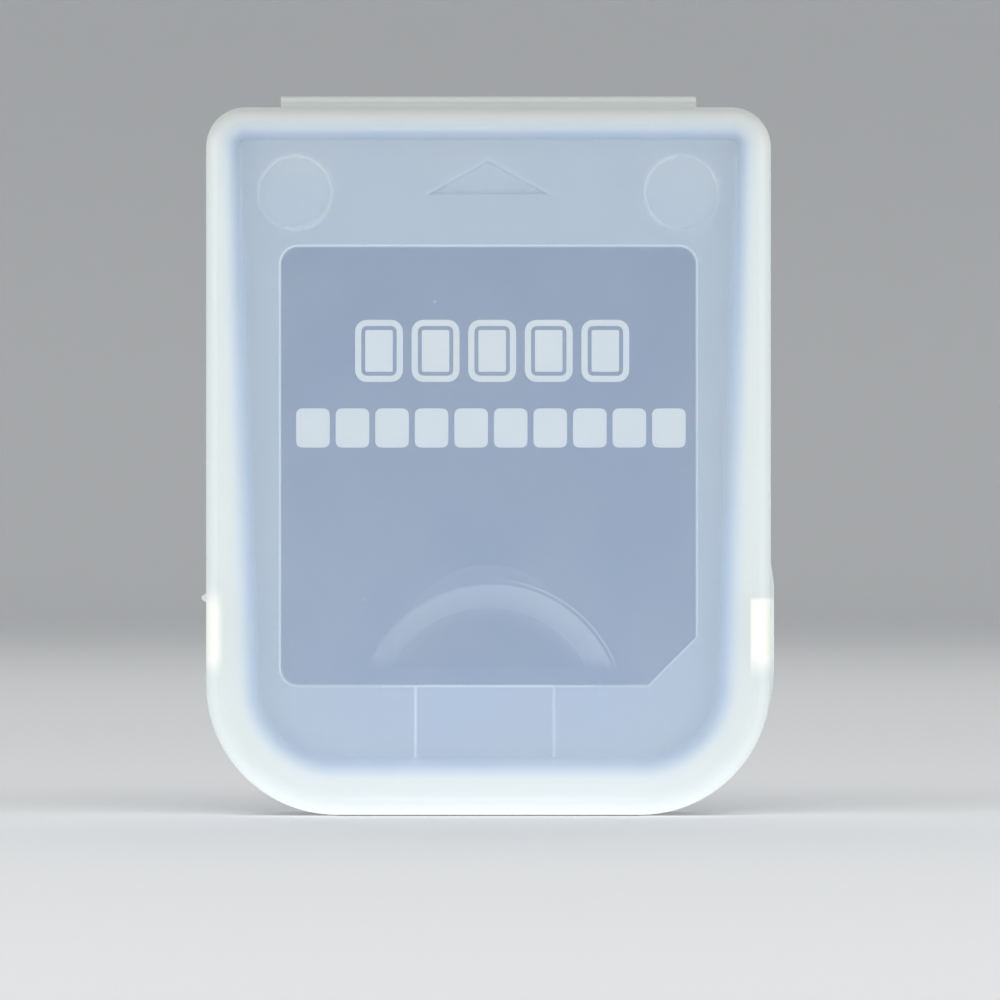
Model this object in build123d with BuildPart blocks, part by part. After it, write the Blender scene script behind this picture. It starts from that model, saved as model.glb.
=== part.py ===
from build123d import *
from math import atan2, cos, radians, sin
import os

# A memory card shut in its translucent hinged case, standing on the foot of the case.
# Millimetres. +X is right, +Y is the back, +Z is up, and the front faces -Y.
# The origin is on the floor, under the middle of the case.

# Card body
CARD_WIDTH = 41.0
CARD_HEIGHT = 52.5
CARD_THICKNESS = 8.0
CARD_TOP_RADIUS = 1.0
CARD_GRIP_RADIUS = 8.3
CARD_EDGE_BEVEL = 0.5
CARD_WALL = 1.4
SMALLEST_RADIUS = 0.3
SAME_DEPTH = 0.001

# Room between the card and the case
CARD_SIDE_CLEARANCE = 0.3
CARD_FACE_CLEARANCE = 0.25

# Case walls
CASE_FACE = 1.2
CASE_WALL = 1.2
CASE_EDGE_RADIUS = 1.5
CAVITY_EDGE_CHAMFER = 0.5
LIP_WALL = 0.65
LIP_GAP = 0.15
LIP_HEIGHT = 1.8
LID_DEPTH = 4.0
LID_RELIEF = 0.1
PARTING_GAP = 0.05

# Living hinge along the top edge
HINGE_WIDTH = 33.5
HINGE_RISE = 0.5
FOLD_RADIUS = 0.4
FOLD_CLEARANCE = 0.04
HINGE_SLIT = 0.05
WEB_ROOT = 0.6

# Side catches, finger ledge and gate vestige
CATCH_HEIGHT = 14.8
CATCH_LENGTH = 5.4
CATCH_RADIUS = 0.4
CATCH_PROUD = 0.2
CATCH_CLEARANCE = 0.05
LEDGE_LENGTH = 9.8
LEDGE_PROUD = 0.25
LEDGE_RAMP = 1.8
LEDGE_FOOT_RISE = 1.4
LEDGE_FOOT_RADIUS = 12.5
LEDGE_FOOT_ANGLE = 35.0
LEDGE_DEPTH = 2.6
GATE_HEIGHT = 17.5
GATE_LENGTH = 0.8
GATE_TIP_LENGTH = 0.25
GATE_WIDTH = 0.9
GATE_PROUD = 0.4

# Rest pads inside the lid
PAD_RADIUS = 2.9
PAD_GAP = 0.1

# Label and the recess that it lies in
LABEL_WIDTH = 33.4
LABEL_HEIGHT = 35.3
LABEL_BASE = 8.2
LABEL_RADIUS = 1.4
LABEL_CUT_CORNER = 3.9
LABEL_RECESS = 0.25
LABEL_FILM = 0.15
LABEL_GAP = 0.12
LABEL_EDGE_CHAMFER = 0.12

# Thumb scoop in the label, thumb channel below it and insertion arrow above it
SCOOP_CHORD = 1.4
SCOOP_CENTRE_DROP = 3.95
SCOOP_FLOOR_RADIUS = 8.8
SCOOP_DEPTH = 0.6
SCOOP_FLARE = 2.0
SCOOP_CUTTER_HEIGHT = 1.5
CHANNEL_WIDTH = 11.1
CHANNEL_SHIFT = -0.3
CHANNEL_DEPTH = 0.15
ARROW_WIDTH = 9.6
ARROW_HEIGHT = 2.7
ARROW_SETBACK = 2.1
ARROW_DEPTH = 0.2

# Joint between the two card shells
REGISTER_WALL = 0.6
REGISTER_HEIGHT = 0.8
REGISTER_GAP = 0.1

# Screws and their bosses
BOSS_SPACING = 31.0
BOSS_SETBACK = 4.7
BOSS_RADIUS = 2.2
SCREW_RADIUS = 0.9
SCREW_LENGTH = 4.4
SCREW_HEAD_RADIUS = 1.9
SCREW_HEAD_HEIGHT = 1.2
SCREW_SINK = 0.3
SCREW_SLOT_WIDTH = 0.5
SCREW_SLOT_LENGTH = 2.4
SCREW_SLOT_DEPTH = 0.6
PILOT_CLEARANCE = 0.05
SHANK_CLEARANCE = 0.25
HEAD_CLEARANCE = 0.2
WELL_WALL = 0.8

# Circuit board, and the mouth that its contact tongue lies in
BOARD_THICKNESS = 1.0
BOARD_FRONT = -0.2
BOARD_CLEARANCE = 0.4
TONGUE_WIDTH = 24.6
TONGUE_SETBACK = 0.8
MOUTH_CLEARANCE = 0.2
MOUTH_REACH = 1.5
REST_RADIUS = 1.5
REST_SPACING = 24.0
REST_HEIGHT = 8.0

# Edge contacts
CONTACT_COUNT = 12
CONTACT_PITCH = 2.0
CONTACT_WIDTH = 1.3
CONTACT_LENGTH = 5.0
CONTACT_THICKNESS = 0.1
CONTACT_SETBACK = 0.3

# Chips and their leads
CHIP_STANDOFF = 0.1
LEAD_THICKNESS = 0.15
LEAD_FOOT = 0.5
FLASH_WIDTH = 18.4
FLASH_HEIGHT = 12.0
FLASH_THICKNESS = 1.0
FLASH_RISE = 33.5
FLASH_LEADS_PER_SIDE = 24
FLASH_LEAD_PITCH = 0.48
FLASH_LEAD_WIDTH = 0.22
FLASH_LEAD_REACH = 0.8
CONTROLLER_SIZE = 10.0
CONTROLLER_THICKNESS = 1.2
CONTROLLER_RISE = 17.5
CONTROLLER_LEADS_PER_SIDE = 11
CONTROLLER_LEAD_PITCH = 0.8
CONTROLLER_LEAD_WIDTH = 0.35
CONTROLLER_LEAD_REACH = 1.0
CHIP_BEVEL = 0.3

# Small parts soldered beside the chips
CAPACITOR_SIZE = (2.0, 1.25, 0.9)
CAPACITOR_SPREAD = 5.0
RESISTOR_SIZE = (1.6, 0.8, 0.45)
RESISTOR_SPREAD = 7.0
SMALL_PART_GAP = 2.0
CAP_BAND = 0.35
CAP_STEP = 0.04

# Sizes that follow from the ones above. Front offsets grow from the middle of the card towards -Y.
LIP_GROW = CARD_SIDE_CLEARANCE + LIP_WALL
LID_CAVITY_GROW = LIP_GROW + LIP_GAP
CASE_MARGIN = LID_CAVITY_GROW + CASE_WALL
CASE_TOP = CARD_HEIGHT + 2 * CASE_MARGIN
CASE_HALF_WIDTH = CARD_WIDTH / 2 + CASE_MARGIN
CAVITY_FACE = CARD_THICKNESS / 2 + CARD_FACE_CLEARANCE
CASE_FRONT = CAVITY_FACE + CASE_FACE
PARTING = CASE_FRONT - LID_DEPTH
LID_RIM = PARTING + PARTING_GAP
HINGE_Z = CASE_TOP + HINGE_RISE
HINGE_Y = -PARTING
CARD_BOTTOM = CASE_MARGIN
CARD_TOP = CARD_BOTTOM + CARD_HEIGHT
CARD_FRONT = CARD_THICKNESS / 2
CARD_INNER_FACE = CARD_FRONT - CARD_WALL
LABEL_BOTTOM = CARD_BOTTOM + LABEL_BASE
LABEL_SEAT = CARD_FRONT - LABEL_RECESS
LABEL_FRONT = LABEL_SEAT + LABEL_FILM
BOSS_HEIGHT = CARD_TOP - BOSS_SETBACK
BOARD_BACK = BOARD_FRONT - BOARD_THICKNESS
TONGUE_TOP = CARD_TOP - TONGUE_SETBACK
SCREW_SEAT = -CARD_FRONT + SCREW_SINK + SCREW_HEAD_HEIGHT
CATCH_X = CARD_WIDTH / 2 + LIP_GROW - (CATCH_RADIUS - CATCH_PROUD)
CATCH_Y = -(PARTING + LIP_HEIGHT / 2)


def front_plane(offset):
    return Plane.XZ.offset(offset)


def outline(grow, offset):
    # The card's outline, grown outwards, on a front plane
    with BuildSketch(front_plane(offset)) as profile:
        with Locations((0, CARD_BOTTOM + CARD_HEIGHT / 2)):
            Rectangle(CARD_WIDTH + 2 * grow, CARD_HEIGHT + 2 * grow)
        fillet(profile.vertices().group_by(Axis.Y)[-1], max(CARD_TOP_RADIUS + grow, SMALLEST_RADIUS))
        fillet(profile.vertices().group_by(Axis.Y)[0], max(CARD_GRIP_RADIUS + grow, SMALLEST_RADIUS))
    return profile.sketch


def label_outline(gap, offset):
    # The label's outline with its cut corner, drawn in by a gap
    with BuildSketch(front_plane(offset)) as profile:
        with Locations((0, LABEL_BOTTOM + LABEL_HEIGHT / 2)):
            Rectangle(LABEL_WIDTH - 2 * gap, LABEL_HEIGHT - 2 * gap)
        corners = profile.vertices().group_by(Axis.Y)
        cut_corner = corners[0].sort_by(Axis.X)[-1]
        rounded = corners[-1] + corners[0].sort_by(Axis.X)[:1]
        chamfer(cut_corner, LABEL_CUT_CORNER - gap)
        fillet(rounded, LABEL_RADIUS)
    return profile.sketch


def scoop_cutter(surface, mode):
    # A flared dish whose floor starts at the chord, level with the surface, and sinks towards its top
    reach = SCOOP_FLOOR_RADIUS - SCOOP_CENTRE_DROP
    tilt = atan2(SCOOP_DEPTH, reach)
    floor = Plane(
        origin=(0, -surface, LABEL_BOTTOM + SCOOP_CHORD),
        x_dir=(1, 0, 0),
        z_dir=(0, -cos(tilt), sin(tilt)),
    )
    flare = SCOOP_FLARE / SCOOP_DEPTH * SCOOP_CUTTER_HEIGHT
    with Locations(floor):
        with Locations((0, -SCOOP_CENTRE_DROP)):
            Cone(
                SCOOP_FLOOR_RADIUS,
                SCOOP_FLOOR_RADIUS + flare,
                SCOOP_CUTTER_HEIGHT,
                align=(Align.CENTER, Align.CENTER, Align.MIN),
                mode=mode,
            )


def boss_spots(offset):
    # The two screw positions on a front plane
    return [
        Plane(origin=(side * BOSS_SPACING / 2, -offset, BOSS_HEIGHT), z_dir=(0, -1, 0))
        for side in (-1, 1)
    ]


def cut_mouth(low, high):
    # The opening in the top wall for the board's contact tongue, between two front offsets
    with BuildSketch(front_plane(low)) as mouth:
        with Locations((0, CARD_TOP)):
            Rectangle(TONGUE_WIDTH + 2 * MOUTH_CLEARANCE, 2 * (CARD_WALL + BOARD_CLEARANCE))
    extrude(mouth.sketch, amount=high - low, mode=Mode.SUBTRACT)


def face_at(part, y):
    # The flat faces of a part that lie at one depth
    return part.faces().filter_by(Axis.Y).filter_by_position(Axis.Y, y - SAME_DEPTH, y + SAME_DEPTH)


# Case base: the rear tray, with its inner lip and the folded film of the hinge
with BuildPart() as case_base:
    extrude(outline(CASE_MARGIN, -CASE_FRONT), amount=PARTING + CASE_FRONT)
    fillet(face_at(case_base, CASE_FRONT).edges(), CASE_EDGE_RADIUS)
    extrude(outline(LIP_GROW, PARTING), amount=LIP_HEIGHT)
    extrude(
        outline(CARD_SIDE_CLEARANCE, -CAVITY_FACE),
        amount=CAVITY_FACE + PARTING + LIP_HEIGHT,
        mode=Mode.SUBTRACT,
    )
    chamfer(face_at(case_base, CAVITY_FACE).edges(), CAVITY_EDGE_CHAMFER)
    # Catch beads on both sides of the lip
    with Locations((-CATCH_X, CATCH_Y, CATCH_HEIGHT), (CATCH_X, CATCH_Y, CATCH_HEIGHT)):
        Cylinder(CATCH_RADIUS, CATCH_LENGTH)
    # Finger ledge on the right-hand side, just below the parting line, which runs out into the lower corner
    with BuildSketch(front_plane(PARTING)):
        with BuildLine():
            ledge_bottom = CARD_GRIP_RADIUS + CASE_MARGIN
            ledge_top = ledge_bottom + LEDGE_LENGTH
            ledge_face = CASE_HALF_WIDTH + LEDGE_PROUD
            foot = CenterArc(
                (ledge_face - LEDGE_FOOT_RADIUS, ledge_bottom + LEDGE_FOOT_RISE),
                LEDGE_FOOT_RADIUS,
                0,
                -LEDGE_FOOT_ANGLE,
            )
            Polyline(
                foot @ 0,
                (ledge_face, ledge_top - LEDGE_RAMP),
                (CASE_HALF_WIDTH, ledge_top),
                (CASE_HALF_WIDTH - CASE_WALL, ledge_top),
                (CASE_HALF_WIDTH - CASE_WALL, ledge_bottom + LEDGE_FOOT_RISE),
                foot @ 1,
            )
        make_face()
    extrude(amount=-LEDGE_DEPTH)
    # Gate vestige on the left-hand side
    with BuildSketch(front_plane(0)):
        with BuildLine():
            Polyline(
                (CASE_WALL / 2 - CASE_HALF_WIDTH, GATE_HEIGHT - GATE_LENGTH / 2),
                (-CASE_HALF_WIDTH, GATE_HEIGHT - GATE_LENGTH / 2),
                (-CASE_HALF_WIDTH - GATE_PROUD, GATE_HEIGHT - GATE_TIP_LENGTH / 2),
                (-CASE_HALF_WIDTH - GATE_PROUD, GATE_HEIGHT + GATE_TIP_LENGTH / 2),
                (-CASE_HALF_WIDTH, GATE_HEIGHT + GATE_LENGTH / 2),
                (CASE_WALL / 2 - CASE_HALF_WIDTH, GATE_HEIGHT + GATE_LENGTH / 2),
                close=True,
            )
        make_face()
    extrude(amount=GATE_WIDTH / 2, both=True)
    # Hinge: a film that rises from the rim and ends in the round fold
    with BuildSketch(Plane.YZ):
        with Locations((HINGE_Y, HINGE_Z)):
            Circle(FOLD_RADIUS)
        with Locations((HINGE_Y + HINGE_SLIT, HINGE_Z)):
            Rectangle(
                FOLD_RADIUS - HINGE_SLIT, HINGE_RISE + WEB_ROOT, align=(Align.MIN, Align.MAX)
            )
    extrude(amount=HINGE_WIDTH / 2, both=True)

# Case lid: the front cover, which closes over the base's lip
with BuildPart() as case_lid:
    extrude(outline(CASE_MARGIN - LID_RELIEF, LID_RIM), amount=CASE_FRONT - LID_RIM)
    fillet(face_at(case_lid, -CASE_FRONT).edges(), CASE_EDGE_RADIUS)
    extrude(outline(LID_CAVITY_GROW, LID_RIM), amount=CAVITY_FACE - LID_RIM, mode=Mode.SUBTRACT)
    chamfer(face_at(case_lid, -CAVITY_FACE).edges(), CAVITY_EDGE_CHAMFER)
    # Rest pads that keep the card from rattling
    with Locations(*boss_spots(CAVITY_FACE)):
        Cylinder(
            PAD_RADIUS,
            CARD_FACE_CLEARANCE - PAD_GAP,
            align=(Align.CENTER, Align.CENTER, Align.MAX),
        )
    # Grooves that the catch beads snap into
    with Locations((-CATCH_X, CATCH_Y, CATCH_HEIGHT), (CATCH_X, CATCH_Y, CATCH_HEIGHT)):
        Cylinder(
            CATCH_RADIUS + CATCH_CLEARANCE, CATCH_LENGTH + 2 * CATCH_CLEARANCE, mode=Mode.SUBTRACT
        )
    # Hinge film, hollowed round the fold
    with BuildSketch(Plane.YZ):
        with Locations((HINGE_Y - HINGE_SLIT, HINGE_Z)):
            Rectangle(
                FOLD_RADIUS - HINGE_SLIT, HINGE_RISE + WEB_ROOT, align=(Align.MAX, Align.MAX)
            )
        with Locations((HINGE_Y, HINGE_Z)):
            Circle(FOLD_RADIUS + FOLD_CLEARANCE, mode=Mode.SUBTRACT)
    extrude(amount=HINGE_WIDTH / 2, both=True)

# Front shell of the card, with the label recess
with BuildPart() as card_front_shell:
    extrude(outline(0, 0), amount=CARD_FRONT)
    chamfer(face_at(card_front_shell, -CARD_FRONT).edges(), CARD_EDGE_BEVEL)
    # Register lip that reaches into the rear shell
    extrude(outline(REGISTER_WALL - CARD_WALL, 0), amount=-REGISTER_HEIGHT)
    extrude(
        outline(-CARD_WALL, -REGISTER_HEIGHT),
        amount=REGISTER_HEIGHT + CARD_INNER_FACE,
        mode=Mode.SUBTRACT,
    )
    # Screw bosses that press on the board
    with Locations(*boss_spots(CARD_INNER_FACE)):
        Cylinder(
            BOSS_RADIUS,
            CARD_INNER_FACE - BOARD_FRONT,
            align=(Align.CENTER, Align.CENTER, Align.MAX),
        )
    with Locations(*boss_spots(CARD_INNER_FACE)):
        Cylinder(
            SCREW_RADIUS + PILOT_CLEARANCE,
            CARD_INNER_FACE - BOARD_FRONT,
            align=(Align.CENTER, Align.CENTER, Align.MAX),
            mode=Mode.SUBTRACT,
        )
    cut_mouth(-REGISTER_HEIGHT, MOUTH_REACH)
    # Label recess and scoop
    extrude(label_outline(0, CARD_FRONT), amount=-LABEL_RECESS, mode=Mode.SUBTRACT)
    chamfer(face_at(card_front_shell, -CARD_FRONT)[0].inner_wires()[0].edges(), LABEL_EDGE_CHAMFER)
    scoop_cutter(LABEL_SEAT, Mode.SUBTRACT)
    # Thumb channel with sloping sides, from the label to the grip end
    with BuildSketch(Plane.XY):
        with BuildLine():
            Polyline(
                (CHANNEL_SHIFT - CHANNEL_WIDTH / 2, -CARD_FRONT),
                (CHANNEL_SHIFT + CHANNEL_WIDTH / 2, -CARD_FRONT),
                (CHANNEL_SHIFT + CHANNEL_WIDTH / 2 - CHANNEL_DEPTH, CHANNEL_DEPTH - CARD_FRONT),
                (CHANNEL_SHIFT - CHANNEL_WIDTH / 2 + CHANNEL_DEPTH, CHANNEL_DEPTH - CARD_FRONT),
                close=True,
            )
        make_face()
    extrude(amount=LABEL_BOTTOM + LABEL_RECESS, mode=Mode.SUBTRACT)
    # Insertion arrow, pointing at the contact end
    with BuildSketch(front_plane(CARD_FRONT)):
        with BuildLine():
            arrow_tip = CARD_TOP - ARROW_SETBACK
            Polyline(
                (-ARROW_WIDTH / 2, arrow_tip - ARROW_HEIGHT),
                (ARROW_WIDTH / 2, arrow_tip - ARROW_HEIGHT),
                (0, arrow_tip),
                close=True,
            )
        make_face()
    extrude(amount=-ARROW_DEPTH, mode=Mode.SUBTRACT)

# Label film, dished where it follows the scoop
with BuildPart() as card_label:
    extrude(label_outline(LABEL_GAP, LABEL_SEAT), amount=LABEL_FILM)
    scoop_cutter(LABEL_SEAT, Mode.ADD)
    split(bisect_by=front_plane(LABEL_FRONT), keep=Keep.BOTTOM)
    scoop_cutter(LABEL_FRONT, Mode.SUBTRACT)

# Rear shell of the card, with the screw wells
with BuildPart() as card_rear_shell:
    extrude(outline(0, -CARD_FRONT), amount=CARD_FRONT)
    chamfer(face_at(card_rear_shell, CARD_FRONT).edges(), CARD_EDGE_BEVEL)
    extrude(outline(-CARD_WALL, -CARD_INNER_FACE), amount=CARD_INNER_FACE, mode=Mode.SUBTRACT)
    # Step that takes the front shell's register lip
    extrude(
        outline(REGISTER_WALL + REGISTER_GAP - CARD_WALL, 0),
        amount=-(REGISTER_HEIGHT + REGISTER_GAP),
        mode=Mode.SUBTRACT,
    )
    # Screw wells that carry the board from behind
    well_radius = SCREW_HEAD_RADIUS + HEAD_CLEARANCE
    with Locations(*boss_spots(-CARD_INNER_FACE)):
        Cylinder(
            well_radius + WELL_WALL,
            CARD_INNER_FACE + BOARD_BACK,
            align=(Align.CENTER, Align.CENTER, Align.MIN),
        )
    with Locations(*boss_spots(-CARD_FRONT)):
        Cylinder(
            well_radius,
            CARD_FRONT + SCREW_SEAT,
            align=(Align.CENTER, Align.CENTER, Align.MIN),
            mode=Mode.SUBTRACT,
        )
        Cylinder(
            SCREW_RADIUS + SHANK_CLEARANCE,
            CARD_FRONT + BOARD_BACK,
            align=(Align.CENTER, Align.CENTER, Align.MIN),
            mode=Mode.SUBTRACT,
        )
    # Two posts under the board at the grip end
    with BuildSketch(front_plane(-CARD_INNER_FACE)):
        with Locations((0, CARD_BOTTOM + REST_HEIGHT)):
            with GridLocations(REST_SPACING, 0, 2, 1):
                Circle(REST_RADIUS)
    extrude(amount=CARD_INNER_FACE + BOARD_BACK)
    cut_mouth(-MOUTH_REACH, 0)

# Circuit board with its contact tongue
with BuildPart() as circuit_board:
    extrude(outline(-(CARD_WALL + BOARD_CLEARANCE), BOARD_BACK), amount=BOARD_THICKNESS)
    with BuildSketch(front_plane(BOARD_BACK)):
        with Locations((0, TONGUE_TOP)):
            Rectangle(TONGUE_WIDTH, CONTACT_LENGTH, align=(Align.CENTER, Align.MAX))
    extrude(amount=BOARD_THICKNESS)
    with Locations(*boss_spots(BOARD_FRONT)):
        Hole(SCREW_RADIUS + SHANK_CLEARANCE, depth=BOARD_THICKNESS)

# Edge contacts along the tongue
contacts = []
for index in range(CONTACT_COUNT):
    x = (index - (CONTACT_COUNT - 1) / 2) * CONTACT_PITCH
    with BuildPart() as contact:
        with BuildSketch(front_plane(BOARD_FRONT)):
            with Locations((x, TONGUE_TOP - CONTACT_SETBACK)):
                Rectangle(CONTACT_WIDTH, CONTACT_LENGTH, align=(Align.CENTER, Align.MAX))
        extrude(amount=CONTACT_THICKNESS)
    contacts.append(contact)


def chip_plane(rise, turn=0):
    # The board's front, at the middle of a chip that stands so high above the card's grip end
    return Plane(
        origin=(0, -BOARD_FRONT, CARD_BOTTOM + rise),
        x_dir=(cos(radians(turn)), 0, sin(radians(turn))),
        z_dir=(0, -1, 0),
    )


def chip_body(plane, width, height, thickness):
    # A moulded package with the bevelled edge that marks its first pin
    end_on = Plane(origin=plane.origin, x_dir=plane.y_dir, z_dir=plane.x_dir)
    top = CHIP_STANDOFF + thickness
    with BuildSketch(end_on) as section:
        with BuildLine():
            Polyline(
                (-height / 2, CHIP_STANDOFF),
                (height / 2, CHIP_STANDOFF),
                (height / 2, top - CHIP_BEVEL),
                (height / 2 - CHIP_BEVEL, top),
                (-height / 2, top),
                close=True,
            )
        make_face()
    extrude(section.sketch, amount=width / 2, both=True)


def lead_row(plane, edge, height, reach, width, pitch, count):
    # Leads along one side of a chip, which slope from the middle of its edge down to a flat foot on the board
    for index in range(count):
        along = (index - (count - 1) / 2) * pitch
        side = Plane(
            origin=plane.from_local_coords(Vector(edge, along, 0)),
            x_dir=plane.x_dir,
            z_dir=-plane.y_dir,
        )
        with BuildSketch(side) as profile:
            with BuildLine():
                Polyline(
                    (0, height),
                    (0, height + LEAD_THICKNESS),
                    (reach, 0),
                    (reach - LEAD_FOOT, 0),
                    close=True,
                )
            make_face()
        extrude(profile.sketch, amount=width / 2, both=True)


# Memory chip, with leads at its two short ends
with BuildPart() as flash_chip:
    chip_body(chip_plane(FLASH_RISE), FLASH_WIDTH, FLASH_HEIGHT, FLASH_THICKNESS)

with BuildPart() as flash_leads:
    for turn in (0, 180):
        lead_row(
            chip_plane(FLASH_RISE, turn),
            FLASH_WIDTH / 2,
            CHIP_STANDOFF + (FLASH_THICKNESS - LEAD_THICKNESS) / 2,
            FLASH_LEAD_REACH,
            FLASH_LEAD_WIDTH,
            FLASH_LEAD_PITCH,
            FLASH_LEADS_PER_SIDE,
        )

# Controller chip, with leads on all four sides
with BuildPart() as controller_chip:
    chip_body(chip_plane(CONTROLLER_RISE), CONTROLLER_SIZE, CONTROLLER_SIZE, CONTROLLER_THICKNESS)

with BuildPart() as controller_leads:
    for turn in (0, 90, 180, 270):
        lead_row(
            chip_plane(CONTROLLER_RISE, turn),
            CONTROLLER_SIZE / 2,
            CHIP_STANDOFF + (CONTROLLER_THICKNESS - LEAD_THICKNESS) / 2,
            CONTROLLER_LEAD_REACH,
            CONTROLLER_LEAD_WIDTH,
            CONTROLLER_LEAD_PITCH,
            CONTROLLER_LEADS_PER_SIDE,
        )


def small_part(spot, size):
    # A chip capacitor or resistor: a ceramic body between two metal caps
    length, width, thickness = size
    with BuildSketch(chip_plane(spot[1])) as body:
        with Locations((spot[0], 0)):
            Rectangle(length - 2 * CAP_BAND, width - 2 * CAP_STEP)
    extrude(body.sketch, amount=thickness - CAP_STEP)
    with BuildSketch(chip_plane(spot[1])) as caps:
        with Locations((spot[0], 0)):
            with GridLocations(length - CAP_BAND, 0, 2, 1):
                Rectangle(CAP_BAND, width)
    extrude(caps.sketch, amount=thickness)


def spots_beside(rise, lead_end, length, spread):
    # Four places for small parts, two on each side of a chip
    across = 2 * (lead_end + SMALL_PART_GAP) + length
    return [(side * across / 2, rise + step * spread / 2) for step in (-1, 1) for side in (-1, 1)]


capacitors = []
flash_end = FLASH_WIDTH / 2 + FLASH_LEAD_REACH
for spot in spots_beside(FLASH_RISE, flash_end, CAPACITOR_SIZE[0], CAPACITOR_SPREAD):
    with BuildPart() as capacitor:
        small_part(spot, CAPACITOR_SIZE)
    capacitors.append(capacitor)

resistors = []
controller_end = CONTROLLER_SIZE / 2 + CONTROLLER_LEAD_REACH
for spot in spots_beside(CONTROLLER_RISE, controller_end, RESISTOR_SIZE[0], RESISTOR_SPREAD):
    with BuildPart() as resistor:
        small_part(spot, RESISTOR_SIZE)
    resistors.append(resistor)

# Two screws that close the card, driven from behind
with BuildPart() as shell_screws:
    with Locations(*boss_spots(SCREW_SEAT)):
        Cylinder(
            SCREW_HEAD_RADIUS, SCREW_HEAD_HEIGHT, align=(Align.CENTER, Align.CENTER, Align.MAX)
        )
    with Locations(*boss_spots(SCREW_SEAT)):
        Cylinder(SCREW_RADIUS, SCREW_LENGTH, align=(Align.CENTER, Align.CENTER, Align.MIN))
    for slot in ((SCREW_SLOT_LENGTH, SCREW_SLOT_WIDTH), (SCREW_SLOT_WIDTH, SCREW_SLOT_LENGTH)):
        with Locations(*boss_spots(SCREW_SEAT - SCREW_HEAD_HEIGHT)):
            Box(
                *slot,
                SCREW_SLOT_DEPTH,
                align=(Align.CENTER, Align.CENTER, Align.MIN),
                mode=Mode.SUBTRACT,
            )

nodes = {
    "case_base": case_base,
    "case_lid": case_lid,
    "card_front_shell": card_front_shell,
    "card_rear_shell": card_rear_shell,
    "card_label": card_label,
    "circuit_board": circuit_board,
    "flash_chip": flash_chip,
    "flash_leads": flash_leads,
    "controller_chip": controller_chip,
    "controller_leads": controller_leads,
    "shell_screws": shell_screws,
}
nodes |= {f"contact_{index:02d}": contact for index, contact in enumerate(contacts, 1)}
nodes |= {f"capacitor_{index}": capacitor for index, capacitor in enumerate(capacitors, 1)}
nodes |= {f"resistor_{index}": resistor for index, resistor in enumerate(resistors, 1)}

os.makedirs("parts", exist_ok=True)
for name, node in nodes.items():
    node.part.label = name
    export_step(node.part, f"parts/{name}.step")
print("hinge axis", (0, round(HINGE_Y, 4), round(HINGE_Z, 4)), "case front", CASE_FRONT)
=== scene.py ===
import bpy
import math
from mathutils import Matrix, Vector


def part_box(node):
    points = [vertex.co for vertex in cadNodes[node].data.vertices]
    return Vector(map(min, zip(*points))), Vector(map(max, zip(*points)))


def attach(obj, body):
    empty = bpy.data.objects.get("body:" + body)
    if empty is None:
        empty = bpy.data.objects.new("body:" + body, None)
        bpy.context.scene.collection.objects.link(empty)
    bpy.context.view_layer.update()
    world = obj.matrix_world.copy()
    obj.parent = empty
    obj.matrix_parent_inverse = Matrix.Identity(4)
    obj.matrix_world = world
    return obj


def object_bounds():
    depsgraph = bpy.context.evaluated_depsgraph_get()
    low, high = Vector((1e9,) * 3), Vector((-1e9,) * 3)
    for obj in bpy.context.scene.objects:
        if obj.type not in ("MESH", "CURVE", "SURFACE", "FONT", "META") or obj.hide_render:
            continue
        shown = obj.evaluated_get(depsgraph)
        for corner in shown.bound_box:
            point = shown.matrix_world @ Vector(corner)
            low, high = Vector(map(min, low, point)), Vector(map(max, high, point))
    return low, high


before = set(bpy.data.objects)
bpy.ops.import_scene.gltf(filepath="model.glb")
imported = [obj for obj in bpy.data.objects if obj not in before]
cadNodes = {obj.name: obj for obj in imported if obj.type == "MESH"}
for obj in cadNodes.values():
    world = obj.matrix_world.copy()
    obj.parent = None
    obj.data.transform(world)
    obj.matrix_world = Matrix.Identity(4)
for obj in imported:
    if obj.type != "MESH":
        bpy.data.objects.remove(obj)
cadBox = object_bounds()
mm = 0.001  # the frame is in metres
print("frame loaded:", len(cadNodes), "nodes")


# small helpers for the node trees
def feed(tree, socket, value):
    if isinstance(value, bpy.types.NodeSocket):
        tree.links.new(value, socket)
    else:
        socket.default_value = value


def addNode(tree, kind, inputs=None, **settings):
    node = tree.nodes.new("ShaderNode" + kind)
    for name, value in settings.items():
        setattr(node, name, value)
    for name, value in (inputs or {}).items():
        feed(tree, node.inputs[name], value)
    return node


def calc(tree, operation, first, second=0.0, clamp=False):
    return addNode(tree, "Math", {0: first, 1: second}, operation=operation, use_clamp=clamp).outputs[0]


def remap(tree, value, low, high, toLow, toHigh, smooth=False):
    kind = "SMOOTHSTEP" if smooth else "LINEAR"
    inputs = {"Value": value, "From Min": low, "From Max": high, "To Min": toLow, "To Max": toHigh}
    return addNode(tree, "MapRange", inputs, interpolation_type=kind).outputs["Result"]


def mixColour(tree, factor, first, second):
    node = addNode(tree, "Mix", data_type="RGBA")
    # sockets of the colour form of the node
    for index, value in ((0, factor), (6, first), (7, second)):
        feed(tree, node.inputs[index], value)
    return node.outputs[2]


def newGroup(name, inputs, outputs):
    group = bpy.data.node_groups.new(name, "ShaderNodeTree")
    for label, kind, value in inputs:
        socket = group.interface.new_socket(label, in_out="INPUT", socket_type=kind)
        if value is not None:
            socket.default_value = value
    for label, kind in outputs:
        group.interface.new_socket(label, in_out="OUTPUT", socket_type=kind)
    return group, group.nodes.new("NodeGroupInput").outputs, group.nodes.new("NodeGroupOutput").inputs


def useGroup(tree, group, inputs):
    node = tree.nodes.new("ShaderNodeGroup")
    node.node_tree = group
    for name, value in inputs.items():
        feed(tree, node.inputs[name], value)
    return node.outputs


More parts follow.
